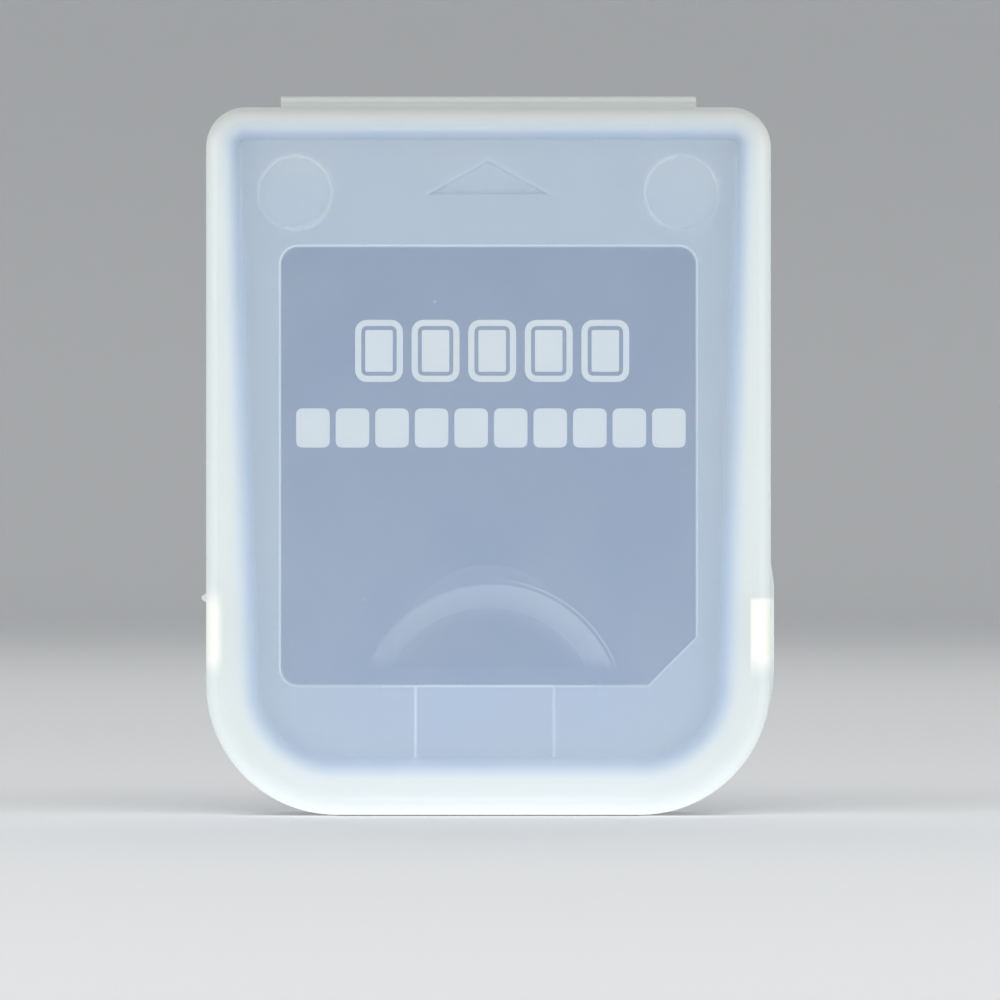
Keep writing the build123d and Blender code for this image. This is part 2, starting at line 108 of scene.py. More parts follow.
def newMaterial(name):
    material = bpy.data.materials.new(name)
    material.use_nodes = True
    tree = material.node_tree
    tree.nodes.clear()
    output = addNode(tree, "OutputMaterial")
    shader = addNode(tree, "BsdfPrincipled")
    tree.links.new(shader.outputs[0], output.inputs["Surface"])
    place = addNode(tree, "TexCoord").outputs["Object"]
    return material, tree, shader, place


# shared effects
def makePanelField():
    # distance from the outline of a round-cornered panel that faces the front, negative inside it
    group, given, out = newGroup(
        "panelField",
        (
            ("Vector", "NodeSocketVector", None),
            ("Half Width", "NodeSocketFloat", 0.02),
            ("Low", "NodeSocketFloat", 0.0),
            ("High", "NodeSocketFloat", 0.05),
            ("Low Radius", "NodeSocketFloat", 0.008),
            ("High Radius", "NodeSocketFloat", 0.001),
        ),
        (("Distance", "NodeSocketFloat"),),
    )
    split = addNode(group, "SeparateXYZ", {0: given["Vector"]}).outputs
    middle = calc(group, "MULTIPLY", calc(group, "ADD", given["Low"], given["High"]), 0.5)
    halfHeight = calc(group, "MULTIPLY", calc(group, "SUBTRACT", given["High"], given["Low"]), 0.5)
    isHigh = calc(group, "GREATER_THAN", split["Z"], middle)
    radiusStep = calc(group, "SUBTRACT", given["High Radius"], given["Low Radius"])
    radius = calc(group, "ADD", given["Low Radius"], calc(group, "MULTIPLY", isHigh, radiusStep))
    shortWidth = calc(group, "SUBTRACT", given["Half Width"], radius)
    shortHeight = calc(group, "SUBTRACT", halfHeight, radius)
    overX = calc(group, "SUBTRACT", calc(group, "ABSOLUTE", split["X"]), shortWidth)
    fromMiddle = calc(group, "ABSOLUTE", calc(group, "SUBTRACT", split["Z"], middle))
    overZ = calc(group, "SUBTRACT", fromMiddle, shortHeight)
    outX = calc(group, "MAXIMUM", overX, 0.0)
    outZ = calc(group, "MAXIMUM", overZ, 0.0)
    squares = calc(group, "ADD", calc(group, "MULTIPLY", outX, outX), calc(group, "MULTIPLY", outZ, outZ))
    inside = calc(group, "MINIMUM", calc(group, "MAXIMUM", overX, overZ), 0.0)
    reach = calc(group, "ADD", calc(group, "SQRT", squares), inside)
    group.links.new(calc(group, "SUBTRACT", reach, radius), out["Distance"])
    return group


def makeEdgeLine():
    # 1 on a line that runs at one distance, fading to 0 at half its width
    group, given, out = newGroup(
        "edgeLine",
        (
            ("Distance", "NodeSocketFloat", 0.0),
            ("Centre", "NodeSocketFloat", 0.0),
            ("Width", "NodeSocketFloat", 0.0003),
        ),
        (("Mask", "NodeSocketFloat"),),
    )
    away = calc(group, "ABSOLUTE", calc(group, "SUBTRACT", given["Distance"], given["Centre"]))
    half = calc(group, "MULTIPLY", given["Width"], 0.5)
    group.links.new(remap(group, away, 0.0, half, 1.0, 0.0, smooth=True), out["Mask"])
    return group


speckChance = 0.55  # cells below this share hold no speck
speckSize = 0.11  # largest speck, in cell widths


def makeMouldGrain():
    # fine moulded grain as a height, slow cloudy variation, and scattered specks
    group, given, out = newGroup(
        "mouldGrain",
        (
            ("Vector", "NodeSocketVector", None),
            ("Grain Scale", "NodeSocketFloat", 4000.0),
            ("Cloud Scale", "NodeSocketFloat", 150.0),
            ("Speck Scale", "NodeSocketFloat", 500.0),
        ),
        (("Height", "NodeSocketFloat"), ("Cloud", "NodeSocketFloat"), ("Speck", "NodeSocketFloat")),
    )
    fine = addNode(group, "TexNoise", {"Vector": given["Vector"], "Scale": given["Grain Scale"], "Detail": 0.0})
    slow = addNode(group, "TexNoise", {"Vector": given["Vector"], "Scale": given["Cloud Scale"], "Detail": 1.0})
    cells = addNode(group, "TexVoronoi", {"Vector": given["Vector"], "Scale": given["Speck Scale"]})
    chance = addNode(group, "SeparateColor", {0: cells.outputs["Color"]}).outputs
    size = remap(group, chance[0], speckChance, 1.0, 0.0, speckSize)
    speck = calc(group, "LESS_THAN", cells.outputs["Distance"], size)
    group.links.new(fine.outputs["Fac"], out["Height"])
    group.links.new(slow.outputs["Fac"], out["Cloud"])
    group.links.new(speck, out["Speck"])
    return group


panelField = makePanelField()
edgeLine = makeEdgeLine()
mouldGrain = makeMouldGrain()


# how the fine grain acts on a moulded surface
grainBand = (0.3, 0.7)  # most of the grain's height lies in here
grainSpread = 0.06  # change of roughness, up and down
grainHeight = 0.02 * mm


def addGrain(tree, shader, height, roughness, strength):
    rough = remap(tree, height, *grainBand, roughness - grainSpread, roughness + grainSpread)
    bump = addNode(tree, "Bump", {"Strength": strength, "Distance": grainHeight, "Height": height})
    feed(tree, shader.inputs["Roughness"], rough)
    feed(tree, shader.inputs["Normal"], bump.outputs[0])


# frosted polypropylene of the case: a thin hazy face, a thick white rim
caseFinish = {
    "face": (0.58, 0.75, 1.0, 1.0),
    "faceWarm": (0.605, 0.76, 0.98, 1.0),  # where the face is cloudy
    "warmSpan": (0.3, 0.7),
    "rim": (0.87, 0.94, 0.93, 1.0),
    "rimLitLow": (0.92, 0.985, 1.0, 1.0),  # painted light from below: whiter towards the grip end
    "rimShadedHigh": (0.85, 0.885, 0.855, 1.0),  # painted shade: greyer towards the hinge
    "rimSpan": (0.5 * mm, 7.0 * mm, 48.0 * mm, 58.0 * mm),
    "catchPatch": (0.88, 0.91, 0.84, 1.0),  # paler and more opaque at the catches
    "faceAlpha": 0.23,
    "rimAlpha": 0.72,
    "catchPatchAlpha": 0.35,
    "hazeSpan": (5.0 * mm, 52.0 * mm),
    "hazeShift": (0.024, -0.022),  # hazier at the foot, clearer at the hinge
    "cloudShift": (-0.015, 0.015),
    "roughness": (0.36, 0.5),
    "ior": 1.49,
    "grain": {"Grain Scale": 4500.0, "Cloud Scale": 130.0},
    "outline": {
        "Half Width": 22.8 * mm, "Low": 0.0, "High": 57.1 * mm, "Low Radius": 10.6 * mm, "High Radius": 3.3 * mm,
    },
    "wallBand": (-2.0 * mm, -0.4 * mm),
    "cavityDepth": (3.9 * mm, 2.0 * mm),  # from the outline to the edge of the cavity, at the foot and at the hinge
    "hingeDepth": 0.1 * mm,  # taken off that at the hinge itself
    "cavityBand": (-1.4 * mm, 0.8 * mm),
    "colourBand": (-1.0 * mm, 1.3 * mm),
    "glowBand": (-9.0 * mm, -3.0 * mm),
    "bandShare": (0.25, 0.75),  # wall, cavity edge
    "glowShare": 0.14,
    # the pad rings carry a painted highlight
    "pad": {
        "x": 15.5 * mm, "z": 50.1 * mm, "radius": 2.9 * mm, "line": 0.8 * mm, "haze": 0.19,
        "ringHighlightShare": 0.5, "ringAlpha": 0.06, "hazeAlpha": 0.2, "cloudSpan": (0.38, 0.6), "cloudShare": (0.25, 1.0),
    },
    "catch": {"z": 14.8 * mm, "half": 2.65 * mm, "front": -3.8 * mm, "back": 0.8 * mm},
    "catchRight": {"from": 20.9 * mm, "to": 21.2 * mm, "softHigh": 0.25 * mm, "softLow": 1.3 * mm},
    "catchLeft": {"from": 20.9 * mm, "to": 22.2 * mm, "softHigh": 1.3 * mm, "softLow": 1.3 * mm},
    "lidFront": -3.5 * mm,
}


def padMarks(tree, split, cloud):
    # painted highlights on rings where the rest pads meet the lid, broken up by the cloudiness, and the slight haze
    # inside them
    pad = caseFinish["pad"]
    padX = calc(tree, "SUBTRACT", calc(tree, "ABSOLUTE", split["X"]), pad["x"])
    padZ = calc(tree, "SUBTRACT", split["Z"], pad["z"])
    flat = addNode(tree, "CombineXYZ", {0: padX, 1: padZ}).outputs[0]
    reach = addNode(tree, "VectorMath", {0: flat}, operation="LENGTH").outputs["Value"]
    onLid = calc(tree, "LESS_THAN", split["Y"], caseFinish["lidFront"])
    ringHighlight = useGroup(tree, edgeLine, {"Distance": reach, "Centre": pad["radius"], "Width": pad["line"]})["Mask"]
    ringHighlight = calc(tree, "MULTIPLY", ringHighlight, onLid)
    ringHighlight = calc(tree, "MULTIPLY", ringHighlight, remap(tree, cloud, *pad["cloudSpan"], *pad["cloudShare"]))
    inner, outer = pad["radius"] - pad["line"], pad["radius"] + pad["line"]
    haze = calc(tree, "MULTIPLY", remap(tree, reach, inner, outer, pad["haze"], 0.0, smooth=True), onLid)
    return ringHighlight, haze


def catchMarks(tree, split):
    # paler, more opaque patches at the catches
    catch = caseFinish["catch"]
    top, foot = catch["z"] + catch["half"], catch["z"] - catch["half"]
    patches = []
    for side, patch in ((1.0, caseFinish["catchRight"]), (-1.0, caseFinish["catchLeft"])):
        below = remap(tree, split["Z"], top - patch["softHigh"], top + patch["softHigh"], 1.0, 0.0, smooth=True)
        above = remap(tree, split["Z"], foot - patch["softLow"], foot + patch["softLow"], 0.0, 1.0, smooth=True)
        along = calc(tree, "MULTIPLY", below, above)
        outward = calc(tree, "MULTIPLY", split["X"], side)
        across = remap(tree, outward, patch["from"], patch["to"], 0.0, 1.0, smooth=True)
        patches.append(calc(tree, "MULTIPLY", along, across))
    towardsLid = remap(tree, split["Y"], catch["front"], catch["back"], 1.0, 0.0, smooth=True)
    return calc(tree, "MULTIPLY", calc(tree, "MAXIMUM", patches[0], patches[1]), towardsLid)


def makeCasePlastic():
    material, tree, shader, place = newMaterial("frostedCase")
    split = addNode(tree, "SeparateXYZ", {0: place}).outputs
    outline = caseFinish["outline"]
    low, lowEnd, highStart, high = caseFinish["rimSpan"]
    atFoot = remap(tree, split["Z"], low, lowEnd, 1.0, 0.0, smooth=True)
    atHinge = remap(tree, split["Z"], highStart, high, 0.0, 1.0, smooth=True)
    distance = useGroup(tree, panelField, {"Vector": place, **outline})["Distance"]
    depth = remap(tree, split["Z"], outline["Low"], outline["High"], *caseFinish["cavityDepth"])
    depth = calc(tree, "SUBTRACT", depth, calc(tree, "MULTIPLY", atHinge, caseFinish["hingeDepth"]))
    fromCavity = calc(tree, "ADD", distance, depth)
    wallShare, cavityShare = caseFinish["bandShare"]
    wall = remap(tree, distance, *caseFinish["wallBand"], 0.0, wallShare, smooth=True)
    cavity = remap(tree, fromCavity, *caseFinish["cavityBand"], 0.0, cavityShare, smooth=True)
    rim = calc(tree, "ADD", wall, cavity)
    tinted = remap(tree, fromCavity, *caseFinish["colourBand"], 0.0, 1.0, smooth=True)
    glow = remap(tree, distance, *caseFinish["glowBand"], 0.0, caseFinish["glowShare"], smooth=True)
    grain = useGroup(tree, mouldGrain, {"Vector": place, **caseFinish["grain"]})
    ringHighlight, padHaze = padMarks(tree, split, grain["Cloud"])
    catchPatch = catchMarks(tree, split)
    pad = caseFinish["pad"]
    # painted light and shade on the rim: whiter at the foot, greyer at the hinge
    rimColour = mixColour(tree, atFoot, caseFinish["rim"], caseFinish["rimLitLow"])
    rimColour = mixColour(tree, atHinge, rimColour, caseFinish["rimShadedHigh"])
    cloudy = remap(tree, grain["Cloud"], *caseFinish["warmSpan"], 0.0, 1.0, smooth=True)
    colour = mixColour(tree, cloudy, caseFinish["face"], caseFinish["faceWarm"])
    colour = mixColour(tree, calc(tree, "MAXIMUM", tinted, glow), colour, rimColour)
    # painted highlight on the pad rings, and the slight haze inside them, in the lit rim white
    marked = calc(tree, "MAXIMUM", calc(tree, "MULTIPLY", ringHighlight, pad["ringHighlightShare"]), padHaze)
    colour = mixColour(tree, marked, colour, caseFinish["rimLitLow"])
    colour = mixColour(tree, catchPatch, colour, caseFinish["catchPatch"])
    alpha = remap(tree, rim, 0.0, 1.0, caseFinish["faceAlpha"], caseFinish["rimAlpha"])
    for mask, share in ((ringHighlight, pad["ringAlpha"]), (padHaze, pad["hazeAlpha"]), (catchPatch, caseFinish["catchPatchAlpha"])):
        alpha = calc(tree, "ADD", alpha, calc(tree, "MULTIPLY", mask, share))
    alpha = calc(tree, "ADD", alpha, remap(tree, split["Z"], *caseFinish["hazeSpan"], *caseFinish["hazeShift"]))
    alpha = calc(tree, "ADD", alpha, remap(tree, grain["Cloud"], 0.0, 1.0, *caseFinish["cloudShift"]), clamp=True)
    feed(tree, shader.inputs["Base Color"], colour)
    feed(tree, shader.inputs["Alpha"], alpha)
    feed(tree, shader.inputs["Roughness"], remap(tree, grain["Height"], 0.0, 1.0, *caseFinish["roughness"]))
    shader.inputs["IOR"].default_value = caseFinish["ior"]
    return material


# grey housing of the card, with painted highlights along its moulded edges
cardFinish = {
    "low": (0.41, 0.445, 0.455, 1.0),
    "high": (0.46, 0.495, 0.505, 1.0),
    "foot": (0.47, 0.52, 0.6, 1.0),  # lighter and bluer towards the grip end
    "footSpan": (4.0 * mm, 40.0 * mm),
    "footShare": (0.6, 0.0),
    # colour of the painted edge highlights
    "edgeHighlight": (0.95, 0.96, 0.97, 1.0),
    "edgeHighlightSpan": (-5.0 * mm, 17.0 * mm),
    "edgeHighlightShare": (1.0, 0.85),  # painted highlights weaker on the right
    "roughness": 0.42,
    "bump": 0.08,
    "grain": {"Grain Scale": 3500.0, "Cloud Scale": 200.0},
    "label": {
        "Half Width": 16.7 * mm, "Low": 10.5 * mm, "High": 45.8 * mm, "Low Radius": 1.4 * mm, "High Radius": 1.4 * mm,
    },
    "labelCut": 3.9 * mm,
    "labelLine": {"Centre": 0.05 * mm, "Width": 0.3 * mm},
    "channel": {"middle": -0.3 * mm, "half": 5.55 * mm, "top": 10.5 * mm, "line": 0.45 * mm, "share": (0.85, 0.6)},
    "arrow": {"half": 4.8 * mm, "low": 50.0 * mm, "high": 52.7 * mm, "line": 0.95 * mm, "share": 0.15},
    "front": -3.6 * mm,
}


def labelEdge(tree, split, place):
    # painted highlight along the edge of the label recess, with its cut corner
    outline = cardFinish["label"]
    field = useGroup(tree, panelField, {"Vector": place, **outline})["Distance"]
    cutLine = outline["Low"] - outline["Half Width"] + cardFinish["labelCut"]
    cutField = calc(tree, "ADD", calc(tree, "SUBTRACT", split["X"], split["Z"]), cutLine)
    field = calc(tree, "MAXIMUM", field, calc(tree, "MULTIPLY", cutField, math.sqrt(0.5)))
    return useGroup(tree, edgeLine, {"Distance": field, **cardFinish["labelLine"]})["Mask"]


def channelEdges(tree, split):
    # painted highlights on the two edges of the thumb channel, brighter on the left
    channel = cardFinish["channel"]
    half = channel["half"]
    away = calc(tree, "ABSOLUTE", calc(tree, "SUBTRACT", split["X"], channel["middle"]))
    line = useGroup(tree, edgeLine, {"Distance": away, "Centre": half, "Width": channel["line"]})["Mask"]
    line = calc(tree, "MULTIPLY", line, remap(tree, split["X"], -half, half, *channel["share"]))
    return calc(tree, "MULTIPLY", line, calc(tree, "LESS_THAN", split["Z"], channel["top"]))


def arrowEdges(tree, split):
    # painted highlights on the two slopes of the arrow
    arrow = cardFinish["arrow"]
    rise = (arrow["high"] - arrow["low"]) / arrow["half"]
    climb = calc(tree, "MULTIPLY", calc(tree, "ABSOLUTE", split["X"]), rise)
    slope = calc(tree, "SUBTRACT", calc(tree, "ADD", split["Z"], climb), arrow["high"])
    slope = calc(tree, "MULTIPLY", slope, 1.0 / math.hypot(1.0, rise))
    line = useGroup(tree, edgeLine, {"Distance": slope, "Centre": 0.0, "Width": arrow["line"]})["Mask"]
    line = calc(tree, "MULTIPLY", line, calc(tree, "GREATER_THAN", split["Z"], arrow["low"]))
    return calc(tree, "MULTIPLY", line, arrow["share"])


def makeCardPlastic():
    material, tree, shader, place = newMaterial("cardPlastic")
    split = addNode(tree, "SeparateXYZ", {0: place}).outputs
    grain = useGroup(tree, mouldGrain, {"Vector": place, **cardFinish["grain"]})
    # painted highlights on the front, along the label recess, the thumb channel and the arrow
    edgeHighlight = calc(tree, "MAXIMUM", labelEdge(tree, split, place), channelEdges(tree, split))
    edgeHighlight = calc(tree, "MAXIMUM", edgeHighlight, arrowEdges(tree, split))
    edgeHighlight = calc(tree, "MULTIPLY", edgeHighlight, calc(tree, "LESS_THAN", split["Y"], cardFinish["front"]))
    edgeHighlightShare = remap(tree, split["X"], *cardFinish["edgeHighlightSpan"], *cardFinish["edgeHighlightShare"])
    edgeHighlight = calc(tree, "MULTIPLY", edgeHighlight, edgeHighlightShare)
    nearFoot = remap(tree, split["Z"], *cardFinish["footSpan"], *cardFinish["footShare"])
    colour = mixColour(tree, grain["Cloud"], cardFinish["low"], cardFinish["high"])
    colour = mixColour(tree, nearFoot, colour, cardFinish["foot"])
    feed(tree, shader.inputs["Base Color"], mixColour(tree, edgeHighlight, colour, cardFinish["edgeHighlight"]))
    addGrain(tree, shader, grain["Height"], cardFinish["roughness"], cardFinish["bump"])
    return material


# laminated film of the label
filmFinish = {
    "low": (0.08, 0.096, 0.142, 1.0),
    "high": (0.106, 0.124, 0.174, 1.0),
    "foot": (0.13, 0.155, 0.205, 1.0),  # lighter towards the grip end
    "footSpan": (11.0 * mm, 34.0 * mm),
    "footShare": (0.7, 0.0),
    "speck": (0.5, 0.5, 0.52, 1.0),
    "speckShare": 0.6,
    "scoopHighlight": (0.35, 0.365, 0.4, 1.0),  # painted highlight on the side of the scoop
    "scoopHighlightSpan": (-10.0 * mm, 8.0 * mm),
    "scoopHighlightShare": (0.55, 1.0),  # more on the right
    "softSpan": (-8.0 * mm, 3.0 * mm),
    "softEdge": (0.6 * mm, 0.1 * mm),  # the upper edge is soft on the left and sharp on the right
    # thin painted highlight line outside the scoop's lip
    "lipHighlight": {"out": 0.3 * mm, "width": 0.28 * mm, "span": (0.0, 4.0 * mm)},
    "scoop": {
        "z": 7.95 * mm, "chord": 11.9 * mm, "floor": 8.8 * mm, "lip": 10.75 * mm,
        "floorFade": 1.5 * mm, "lipFade": 0.05 * mm, "chordFade": (-0.3 * mm, 1.2 * mm),
    },
    "roughness": 0.33,
    "roughnessSpread": 0.03,
    "coatRoughness": 0.29,
    "grain": {"Grain Scale": 3000.0, "Cloud Scale": 160.0, "Speck Scale": 700.0},
}


def scoopHighlights(tree, split):
    # painted highlights: lighter colour on the side of the scoop, and a thin bright line outside its lip
    scoop, lipHighlight = filmFinish["scoop"], filmFinish["lipHighlight"]
    rise = calc(tree, "SUBTRACT", split["Z"], scoop["z"])
    spread = addNode(tree, "CombineXYZ", {0: split["X"], 1: rise}).outputs[0]
    reach = addNode(tree, "VectorMath", {0: spread}, operation="LENGTH").outputs["Value"]
    chordLow, chordHigh = (scoop["chord"] + fade for fade in scoop["chordFade"])
    aboveChord = remap(tree, split["Z"], chordLow, chordHigh, 0.0, 1.0, smooth=True)
    fromFloor = remap(tree, reach, scoop["floor"] - scoop["floorFade"], scoop["lip"], 0.0, 1.0, smooth=True)
    soft = remap(tree, split["X"], *filmFinish["softSpan"], *filmFinish["softEdge"])
    softStart = calc(tree, "SUBTRACT", scoop["lip"], soft)
    toLip = remap(tree, reach, softStart, scoop["lip"] + scoop["lipFade"], 1.0, 0.0, smooth=True)
    side = calc(tree, "MULTIPLY", calc(tree, "MULTIPLY", fromFloor, toLip), aboveChord)
    scoopHighlightShare = remap(tree, split["X"], *filmFinish["scoopHighlightSpan"], *filmFinish["scoopHighlightShare"])
    side = calc(tree, "MULTIPLY", side, scoopHighlightShare)
    lineInputs = {"Distance": reach, "Centre": scoop["lip"] + lipHighlight["out"], "Width": lipHighlight["width"]}
    line = useGroup(tree, edgeLine, lineInputs)["Mask"]
    onRight = remap(tree, split["X"], *lipHighlight["span"], 0.0, 1.0)
    line = calc(tree, "MULTIPLY", line, calc(tree, "MULTIPLY", aboveChord, onRight))
    return calc(tree, "MAXIMUM", side, line)


def makeLabelFilm():
    material, tree, shader, place = newMaterial("labelFilm")
    split = addNode(tree, "SeparateXYZ", {0: place}).outputs
    grain = useGroup(tree, mouldGrain, {"Vector": place, **filmFinish["grain"]})
    specks = calc(tree, "MULTIPLY", grain["Speck"], filmFinish["speckShare"])
    nearFoot = remap(tree, split["Z"], *filmFinish["footSpan"], *filmFinish["footShare"])
    colour = mixColour(tree, grain["Cloud"], filmFinish["low"], filmFinish["high"])
    colour = mixColour(tree, specks, colour, filmFinish["speck"])
    colour = mixColour(tree, nearFoot, colour, filmFinish["foot"])
    # painted highlight on the scoop
    colour = mixColour(tree, scoopHighlights(tree, split), colour, filmFinish["scoopHighlight"])
    feed(tree, shader.inputs["Base Color"], colour)
    rough, change = filmFinish["roughness"], filmFinish["roughnessSpread"]
    feed(tree, shader.inputs["Roughness"], remap(tree, grain["Cloud"], 0.0, 1.0, rough - change, rough + change))
    shader.inputs["Coat Weight"].default_value = 1.0
    shader.inputs["Coat Roughness"].default_value = filmFinish["coatRoughness"]
    return material


# plain finishes of the small pieces
mouldedCloudScale = 200.0
platedFinish = {"dull": 0.8, "rougher": 0.15, "cloudBand": (0.3, 0.7), "Grain Scale": 6000.0, "Cloud Scale": 900.0}


def makeMoulded(name, low, high, roughness, grainScale, bumpStrength):
    # opaque moulded plastic with grain
    material, tree, shader, place = newMaterial(name)
    scales = {"Grain Scale": grainScale, "Cloud Scale": mouldedCloudScale}
    grain = useGroup(tree, mouldGrain, {"Vector": place, **scales})
    feed(tree, shader.inputs["Base Color"], mixColour(tree, grain["Cloud"], low, high))
    addGrain(tree, shader, grain["Height"], roughness, bumpStrength)
    return material


def makePlated(name, colour, roughness):
    # metal plating with slight dulling
    material, tree, shader, place = newMaterial(name)
    scales = {key: platedFinish[key] for key in ("Grain Scale", "Cloud Scale")}
    grain = useGroup(tree, mouldGrain, {"Vector": place, **scales})
    dull = tuple(channel * platedFinish["dull"] for channel in colour[:3]) + (1.0,)
    rough = remap(tree, grain["Cloud"], *platedFinish["cloudBand"], roughness, roughness + platedFinish["rougher"])
    feed(tree, shader.inputs["Base Color"], mixColour(tree, grain["Cloud"], dull, colour))
    feed(tree, shader.inputs["Roughness"], rough)
    shader.inputs["Metallic"].default_value = 1.0
    return material


casePlastic = makeCasePlastic()
cardPlastic = makeCardPlastic()
labelFilm = makeLabelFilm()
labelInk = makeMoulded("labelInk", (0.80, 0.79, 0.68, 1.0), (0.88, 0.87, 0.76, 1.0), 0.5, 2500.0, 0.02)
boardLaminate = makeMoulded("boardLaminate", (0.02, 0.13, 0.05, 1.0), (0.04, 0.2, 0.09, 1.0), 0.35, 2000.0, 0.1)
chipEpoxy = makeMoulded("chipEpoxy", (0.02, 0.02, 0.022, 1.0), (0.035, 0.035, 0.038, 1.0), 0.55, 5000.0, 0.2)
capacitorBody = makeMoulded("capacitorBody", (0.36, 0.25, 0.14, 1.0), (0.44, 0.32, 0.2, 1.0), 0.5, 6000.0, 0.1)
resistorBody = makeMoulded("resistorBody", (0.02, 0.02, 0.024, 1.0), (0.05, 0.05, 0.055, 1.0), 0.4, 6000.0, 0.1)
leadTin = makePlated("leadTin", (0.72, 0.72, 0.7, 1.0), 0.28)
contactGold = makePlated("contactGold", (0.86, 0.62, 0.24, 1.0), 0.18)
screwSteel = makePlated("screwSteel", (0.56, 0.56, 0.58, 1.0), 0.3)

nodeFinish = {
    "case_": casePlastic,
    "card_label": labelFilm,
    "card_": cardPlastic,
    "circuit_board": boardLaminate,
    "flash_chip": chipEpoxy,
    "controller_chip": chipEpoxy,
    "flash_leads": leadTin,
    "controller_leads": leadTin,
    "contact_": contactGold,
    "capacitor_": capacitorBody,
    "resistor_": resistorBody,
    "shell_screws": screwSteel,
}
for nodeName, node in cadNodes.items():
    finish = next(value for start, value in nodeFinish.items() if nodeName.startswith(start))
    node.data.materials.clear()
    node.data.materials.append(finish)
print("finishes set on the CAD nodes")


# print on the label: two rows of plain blocks
printRows = {
    "large": {
        "middle": (0.3 * mm, 37.4 * mm), "count": 5, "block": (3.85 * mm, 5.0 * mm), "gap": 0.7 * mm,
        "radius": 0.95 * mm, "frame": 0.5 * mm, "groove": 0.32 * mm,
    },
    "small": {
        "middle": (0.2 * mm, 31.2 * mm), "count": 10, "block": (2.7 * mm, 3.15 * mm), "gap": 0.48 * mm,
        "radius": 0.5 * mm, "frame": 0.0, "groove": 0.0,
    },
}
printThickness = 0.03 * mm
printCornerSteps = 6


def deselectAll():
    if bpy.context.object and bpy.context.object.mode != "OBJECT":
        bpy.ops.object.mode_set(mode="OBJECT")
    bpy.ops.object.select_all(action="DESELECT")


def inkBlock(name, row):
    # one block at the left end of its row, with round corners and, where it has a frame, a bare groove inside that
    width, height = row["block"]
    left = row["middle"][0] - (row["count"] - 1) * (width + row["gap"]) / 2
    deselectAll()
    bpy.ops.mesh.primitive_plane_add(
        size=1.0, location=(left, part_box("card_label")[0].y, row["middle"][1]), rotation=(math.pi / 2, 0.0, 0.0)
    )
    block = bpy.context.object
    block.name = name
    block.scale = (width, height, 1.0)
    bpy.ops.object.transform_apply(location=True, rotation=True, scale=True)
    bpy.ops.object.mode_set(mode="EDIT")
    bpy.ops.mesh.select_all(action="SELECT")
    bpy.ops.mesh.bevel(offset=row["radius"], segments=printCornerSteps, affect="VERTICES")
    if row["frame"]:
        bpy.ops.mesh.select_mode(type="FACE")
        bpy.ops.mesh.select_all(action="SELECT")
        bpy.ops.mesh.inset(thickness=row["frame"])
        bpy.ops.mesh.inset(thickness=row["groove"], use_select_inset=True)
        bpy.ops.mesh.delete(type="FACE")
        bpy.ops.mesh.select_all(action="SELECT")
    bpy.ops.mesh.extrude_region_move(TRANSFORM_OT_translate={"value": (0.0, -printThickness, 0.0)})
    bpy.ops.mesh.select_all(action="SELECT")
    bpy.ops.mesh.normals_make_consistent(inside=False)
    bpy.ops.object.mode_set(mode="OBJECT")
    return block


def inkRow(name, row):
    piece = inkBlock(name, row)
    array = piece.modifiers.new("row", "ARRAY")
    array.count = row["count"]
    array.use_relative_offset = False
    array.use_constant_offset = True
    array.constant_offset_displace = (row["block"][0] + row["gap"], 0.0, 0.0)
    bpy.ops.object.modifier_apply(modifier=array.name)
    piece.data.materials.clear()
    piece.data.materials.append(labelInk)
    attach(piece, "base")


for rowName, row in printRows.items():
    inkRow("label_print_" + rowName, row)
print("label print made")


# floor that curves up into the backdrop
floorShape = {"radius": 1.0, "cove": 0.5, "wall": 0.6, "steps": 10, "sides": 96, "smoothAngle": 30.0}
floorFinish = {"colour": (0.88, 0.885, 0.89, 1.0), "floorGlow": 0.2, "backGlow": 0.16, "backHeight": 0.16}


def makeFloor():
    deselectAll()
    bpy.ops.mesh.primitive_circle_add(vertices=floorShape["sides"], radius=floorShape["radius"], fill_type="NGON")
    floor = bpy.context.object
    floor.name = "studio_floor"
    bpy.ops.object.mode_set(mode="EDIT")
    bpy.ops.mesh.select_mode(type="EDGE")
    bpy.ops.mesh.select_all(action="SELECT")
    reach = floorShape["radius"]
    height = 0.0
    turn = math.pi / 2 / floorShape["steps"]
    for step in range(floorShape["steps"]):
        newReach = floorShape["radius"] + floorShape["cove"] * math.sin((step + 1) * turn)
        newHeight = floorShape["cove"] * (1 - math.cos((step + 1) * turn))
        bpy.ops.mesh.extrude_edges_move(TRANSFORM_OT_translate={"value": (0.0, 0.0, newHeight - height)})
        bpy.ops.transform.resize(value=(newReach / reach, newReach / reach, 1.0))
        reach, height = newReach, newHeight
    bpy.ops.mesh.extrude_edges_move(TRANSFORM_OT_translate={"value": (0.0, 0.0, floorShape["wall"])})
    bpy.ops.object.mode_set(mode="OBJECT")
    bpy.ops.object.shade_smooth_by_angle(angle=math.radians(floorShape["smoothAngle"]))
    floor.data.materials.append(makePaleFloor())


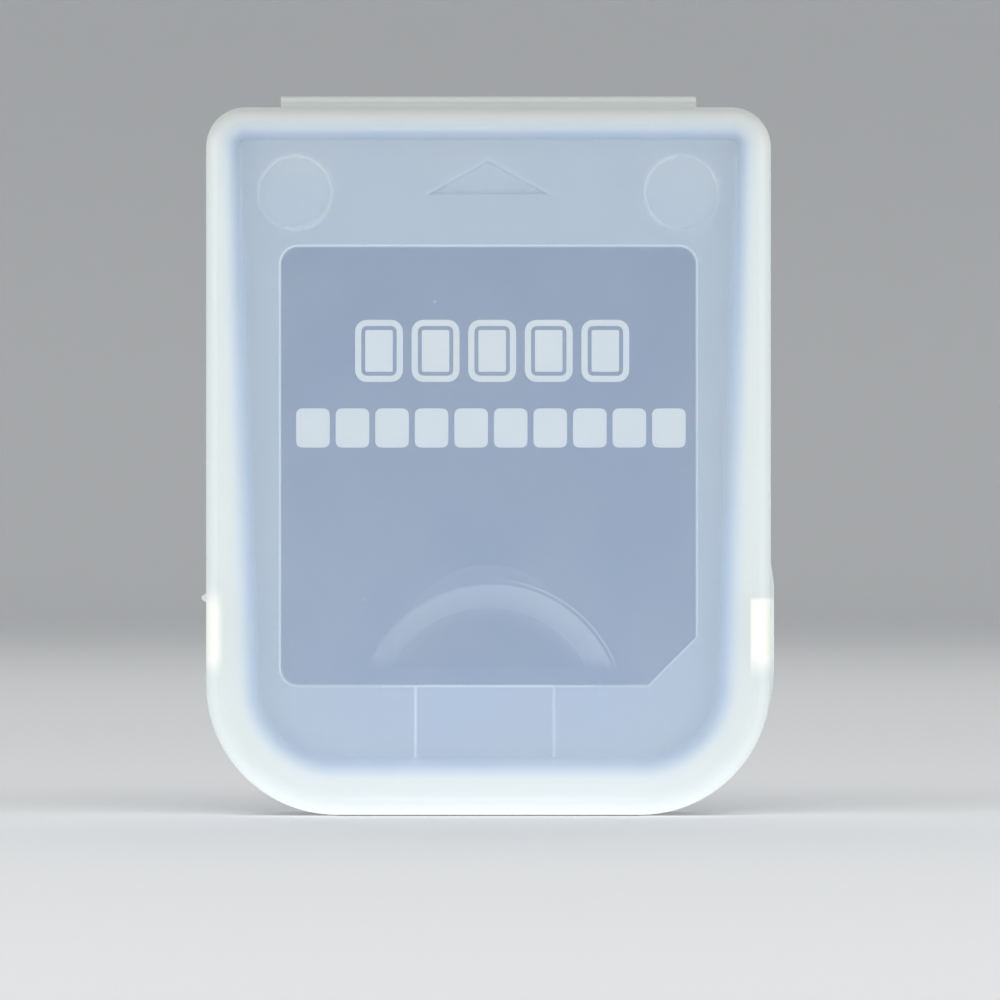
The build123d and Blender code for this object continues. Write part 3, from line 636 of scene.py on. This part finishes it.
def makePaleFloor():
    # matt and pale, with a glow that only the camera and reflections see, so that it adds no light to the card
    material = bpy.data.materials.new("paleFloor")
    material.use_nodes = True
    tree = material.node_tree
    tree.nodes.clear()
    height = addNode(tree, "SeparateXYZ", {0: addNode(tree, "TexCoord").outputs["Object"]}).outputs["Z"]
    glow = remap(
        tree, height, 0.0, floorFinish["backHeight"], floorFinish["floorGlow"], floorFinish["backGlow"], smooth=True
    )
    rays = addNode(tree, "LightPath").outputs
    seen = calc(tree, "MAXIMUM", rays["Is Camera Ray"], rays["Is Glossy Ray"])
    seen = calc(tree, "MAXIMUM", seen, rays["Is Transmission Ray"])
    matt = addNode(tree, "BsdfDiffuse", {"Color": floorFinish["colour"]})
    shine = addNode(tree, "Emission", {"Color": floorFinish["colour"], "Strength": calc(tree, "MULTIPLY", glow, seen)})
    both = addNode(tree, "AddShader", {0: matt.outputs[0], 1: shine.outputs[0]})
    addNode(tree, "OutputMaterial", {"Surface": both.outputs[0]})
    material.cycles.emission_sampling = "NONE"
    return material


makeFloor()

# soft lamps: size and place in metres, power in watts
lamps = {
    "left": {"place": (-0.41, -0.24, 0.1), "aim": (0.0, 0.0, 0.028), "size": (0.24, 0.1), "power": 0.83},
    "right": {"place": (0.41, -0.24, 0.1), "aim": (0.0, 0.0, 0.028), "size": (0.24, 0.1), "power": 0.83},
    "front": {"place": (0.0, -0.42, 0.5), "aim": (0.0, 0.0, 0.028), "size": (0.6, 0.3), "power": 0.92},
    "back": {"place": (0.0, 0.45, 0.5), "aim": (0.0, 0.0, 0.028), "size": (0.6, 0.3), "power": 0.55},
    "reflector": {"place": (0.0, -0.128, 0.0001), "aim": (0.0, -0.128, 1.0), "size": (0.6, 0.25), "power": 0.36},
}


def makeLamp(name, values):
    deselectAll()
    bpy.ops.object.light_add(type="AREA", location=values["place"])
    lamp = bpy.context.object
    lamp.name = "lamp_" + name
    lamp.data.shape = "RECTANGLE"
    lamp.data.size, lamp.data.size_y = values["size"]
    lamp.data.energy = values["power"]
    aim = [target - start for target, start in zip(values["aim"], values["place"])]
    flat = math.hypot(aim[0], aim[1])
    lamp.rotation_euler = (math.atan2(flat, -aim[2]), 0.0, math.atan2(-aim[0], aim[1]))
    lamp.visible_camera = False


for lampName, lampValues in lamps.items():
    makeLamp(lampName, lampValues)

roomLight = {"Color": (0.9, 0.95, 1.0, 1.0), "Strength": 0.23}
world = bpy.data.worlds.new("softRoom")
world.use_nodes = True
for inputName, inputValue in roomLight.items():
    world.node_tree.nodes["Background"].inputs[inputName].default_value = inputValue
bpy.context.scene.world = world

# camera: level with the card, straight in front, as in the photo
cameraSetup = {
    "distance": 0.6, "field": 80.2 * mm, "aim": (0.93 * mm, 25.41 * mm), "sensor": 36.0, "clip": (0.01, 10.0),
}


def makeCamera():
    front = cadBox[0].y
    deselectAll()
    bpy.ops.object.camera_add(
        location=(cameraSetup["aim"][0], front - cameraSetup["distance"], cameraSetup["aim"][1]),
        rotation=(math.pi / 2, 0.0, 0.0),
    )
    camera = bpy.context.object
    camera.data.sensor_width = cameraSetup["sensor"]
    camera.data.lens = cameraSetup["sensor"] * cameraSetup["distance"] / cameraSetup["field"]
    camera.data.clip_start, camera.data.clip_end = cameraSetup["clip"]
    bpy.context.scene.camera = camera


makeCamera()

# plain colours, and enough ray steps to see through the closed case
scene = bpy.context.scene
scene.view_settings.view_transform = "Standard"
scene.cycles.transparent_max_bounces = 24
scene.cycles.max_bounces = 4
scene.cycles.diffuse_bounces = 2
print("stage, lamps and camera set")
